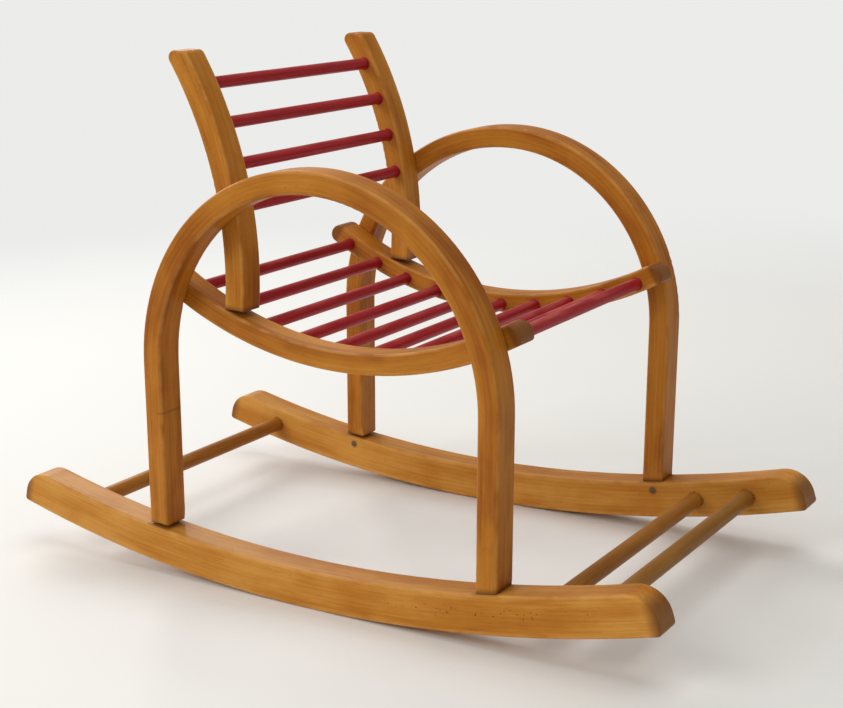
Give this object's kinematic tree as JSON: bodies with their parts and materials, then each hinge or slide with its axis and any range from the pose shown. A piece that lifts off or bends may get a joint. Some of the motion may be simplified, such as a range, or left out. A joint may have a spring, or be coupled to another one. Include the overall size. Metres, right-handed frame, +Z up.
{
  "type": "miniature rocking chair",
  "caption": "Toy bentwood rocking chair: curved runners, hoop-shaped sides that make legs and arms, and a slatted seat and back of thin red dowels.",
  "frame": {"origin": "on the floor, midway between the runners, where the level chair touches: middle of the bottom of the bounding box", "axes": "+X to the front of the chair, +Y to the left of someone sitting in it, +Z up"},
  "size_m": [0.5362, 0.27, 0.3768],
  "materials": {
    "varnished_wood": "clear gloss varnish",
    "red_wood": "dark red satin paint",
    "steel": "dull, darkened"
  },
  "bodies": {
    "root": {"left_runner": "varnished_wood", "left_hoop": "varnished_wood", "left_seat_rail": "varnished_wood", "left_back_stile": "varnished_wood", "left_stile_foot_pin": "varnished_wood", "left_leg_pins": "steel", "right_runner": "varnished_wood", "right_hoop": "varnished_wood", "right_seat_rail": "varnished_wood", "right_back_stile": "varnished_wood", "right_stile_foot_pin": "varnished_wood", "right_leg_pins": "steel", "seat_dowel_01": "red_wood", "seat_dowel_02": "red_wood", "seat_dowel_03": "red_wood", "seat_dowel_04": "red_wood", "seat_dowel_05": "red_wood", "seat_dowel_06": "red_wood", "seat_dowel_07": "red_wood", "seat_dowel_08": "red_wood", "seat_dowel_09": "red_wood", "seat_dowel_10": "red_wood", "back_dowel_1": "red_wood", "back_dowel_2": "red_wood", "back_dowel_3": "red_wood", "back_dowel_4": "red_wood", "rear_stretcher": "varnished_wood", "front_stretcher_inner": "varnished_wood", "front_stretcher_outer": "varnished_wood"}
  },
  "joints": []
}
